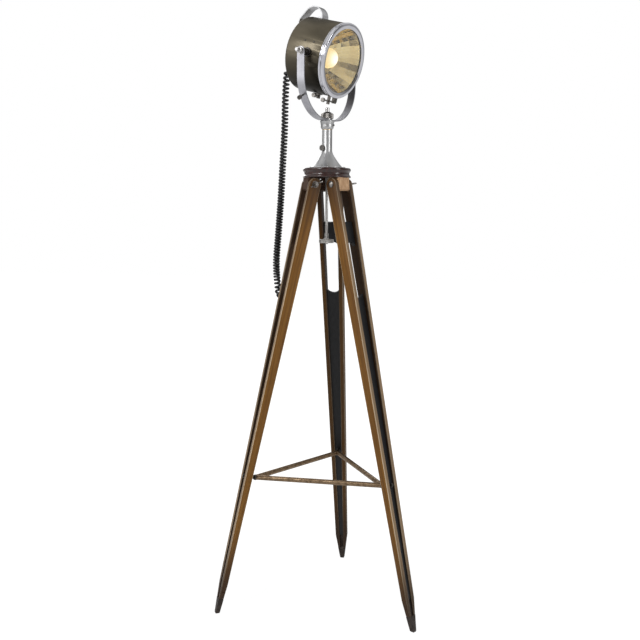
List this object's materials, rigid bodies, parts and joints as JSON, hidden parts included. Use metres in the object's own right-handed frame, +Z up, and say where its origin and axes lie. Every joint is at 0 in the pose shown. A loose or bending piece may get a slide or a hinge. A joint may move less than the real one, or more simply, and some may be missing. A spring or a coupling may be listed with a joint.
{
  "type": "tripod spotlight floor lamp",
  "caption": "Round metal spotlight with a glass lens and grab handle, hung in a yoke on a flared post above a wooden tripod with paired leg boards; a curly cord hangs to one leg.",
  "frame": {"origin": "on the floor, where the tripod's vertical axis meets it, midway between the three feet", "axes": "+Z up; +Y from the tripod's axis towards the back leg; the lamp faces to the right of the camera, 22.5 degrees clockwise from +X"},
  "size_m": [0.58, 0.5045, 1.7157],
  "materials": {
    "leg_wood": "satin, worn edges",
    "filler_wood": "black stained, satin",
    "block_wood": "raw end grain",
    "plate_wood": "dark lacquer",
    "shoe_iron": "dark cast",
    "bright_steel": "bright",
    "dark_steel": "blackened",
    "bronze_rod": "aged bronze",
    "polished_aluminium": "polished",
    "washer_brass": "plain",
    "drum_steel": "satin gunmetal",
    "chrome": "polished",
    "lens_glass": "clear",
    "bulb_glass": "clear",
    "bulb_cap_brass": "plain",
    "reflector_mirror": "warm mirror",
    "gasket_rubber": "matte",
    "holder_plastic": "matte",
    "black_plastic": "matte",
    "cord_rubber": "matte"
  },
  "bodies": {
    "tripod": {"back_leg_boards": "leg_wood", "left_leg_boards": "leg_wood", "right_leg_boards": "leg_wood", "upper_fillers": "filler_wood", "lower_fillers": "filler_wood", "shoes": "shoe_iron", "shoe_pins": "shoe_iron", "hinge_blocks": "block_wood", "hinge_bolts": "bright_steel", "hinge_washers": "bright_steel", "block_screws": "bright_steel", "stretcher_eyes": "shoe_iron", "stretcher_nuts": "bright_steel", "stretcher_rods": "bronze_rod", "head_plate": "plate_wood", "pedestal": "polished_aluminium", "pedestal_screws": "bright_steel", "swivel_washer": "washer_brass", "leg_junction_box": "black_plastic", "leg_cord_gland": "black_plastic", "curly_cord": "cord_rubber"},
    "back_wing": {"back_wing_nut": "bright_steel"},
    "left_wing": {"left_wing_nut": "bright_steel"},
    "right_wing": {"right_wing_nut": "bright_steel"},
    "centre_clamp": {"centre_rod": "bright_steel", "hand_wheel": "bright_steel"},
    "post_screw": {"post_set_screw": "bright_steel"},
    "yoke": {"yoke": "polished_aluminium", "yoke_side_nut": "bright_steel", "swivel_spindle": "bright_steel", "swivel_collar": "polished_aluminium", "collar_grub_screw": "dark_steel", "swivel_nut_washer": "bright_steel"},
    "yoke_side_knob": {"yoke_side_screw": "dark_steel"},
    "swivel_nut": {"swivel_hand_nut": "bright_steel"},
    "lamp_head": {"drum_housing": "drum_steel", "drum_rivets": "dark_steel", "trunnion_plates": "dark_steel", "pivot_bolts": "bright_steel", "pivot_bushes": "dark_steel", "pivot_washers": "bright_steel", "grab_handle": "chrome", "drum_screws": "bright_steel", "underside_bracket": "dark_steel", "reflector": "reflector_mirror", "holder_plate": "dark_steel", "lamp_holder": "holder_plastic", "bulb_cap": "bulb_cap_brass", "bulb_glass": "bulb_glass", "cord_gland": "black_plastic"},
    "near_pivot_knob": {"near_pivot_nut": "bright_steel"},
    "far_pivot_knob": {"far_pivot_nut": "bright_steel"},
    "underside_knob": {"underside_thumb_screw": "bright_steel"},
    "bezel": {"bezel_ring": "chrome", "bezel_lugs": "dark_steel", "lens_glass": "lens_glass", "lens_gasket": "gasket_rubber", "lens_retainer": "dark_steel"},
    "bezel_clamp": {"bezel_clamp_screw": "bright_steel"}
  },
  "joints": [
    {"name": "yoke_swivel", "type": "hinge", "parent": "tripod", "child": "yoke", "pos_m": [0, 0, 1.39], "axis": [0, 0, 1], "range_deg": [-90, 90], "deforming": ["curly_cord"]},
    {"name": "lamp_tilt", "type": "hinge", "parent": "yoke", "child": "lamp_head", "pos_m": [0, 0, 1.5728], "axis": [-0.3833, -0.9236, 0], "range_deg": [-50, 75], "deforming": ["curly_cord"]},
    {"name": "bezel_pull", "type": "slide", "parent": "lamp_head", "child": "bezel", "axis": [0.8915, -0.37, -0.2613], "range_m": [0, 0.07]},
    {"name": "bezel_clamp_turn", "type": "hinge", "parent": "bezel", "child": "bezel_clamp", "pos_m": [-0.00364, -0.04613, 1.45237], "axis": [-0.3833, -0.9236, 0], "continuous": true},
    {"name": "near_pivot_nut_turn", "type": "hinge", "parent": "lamp_head", "child": "near_pivot_knob", "pos_m": [-0.05367, -0.12931, 1.5728], "axis": [-0.3833, -0.9236, 0], "continuous": true},
    {"name": "far_pivot_nut_turn", "type": "hinge", "parent": "lamp_head", "child": "far_pivot_knob", "pos_m": [0.05367, 0.12931, 1.5728], "axis": [0.3833, 0.9236, 0], "continuous": true},
    {"name": "underside_screw_turn", "type": "hinge", "parent": "lamp_head", "child": "underside_knob", "pos_m": [-0.03548, -0.00693, 1.47114], "axis": [-0.3833, -0.9236, 0], "continuous": true},
    {"name": "yoke_side_screw_turn", "type": "hinge", "parent": "yoke", "child": "yoke_side_knob", "pos_m": [-0.04562, -0.10991, 1.45836], "axis": [-0.3385, -0.8155, -0.4695], "continuous": true},
    {"name": "swivel_nut_turn", "type": "hinge", "parent": "yoke", "child": "swivel_nut", "pos_m": [0, 0, 1.414], "axis": [0, 0, 1], "continuous": true},
    {"name": "post_screw_turn", "type": "hinge", "parent": "tripod", "child": "post_screw", "pos_m": [-0.01096, -0.01428, 1.325], "axis": [-0.6088, -0.7934, 0], "continuous": true},
    {"name": "centre_clamp_turn", "type": "hinge", "parent": "tripod", "child": "centre_clamp", "pos_m": [0, 0, 1.064], "axis": [0, 0, 1], "continuous": true},
    {"name": "back_wing_nut_turn", "type": "hinge", "parent": "tripod", "child": "back_wing", "pos_m": [0, 0.0466, 1.222], "axis": [-1, 0, 0], "continuous": true},
    {"name": "left_wing_nut_turn", "type": "hinge", "parent": "tripod", "child": "left_wing", "pos_m": [-0.04036, -0.0233, 1.222], "axis": [0.5, -0.866, 0], "continuous": true},
    {"name": "right_wing_nut_turn", "type": "hinge", "parent": "tripod", "child": "right_wing", "pos_m": [0.04036, -0.0233, 1.222], "axis": [0.5, 0.866, 0], "continuous": true}
  ]
}
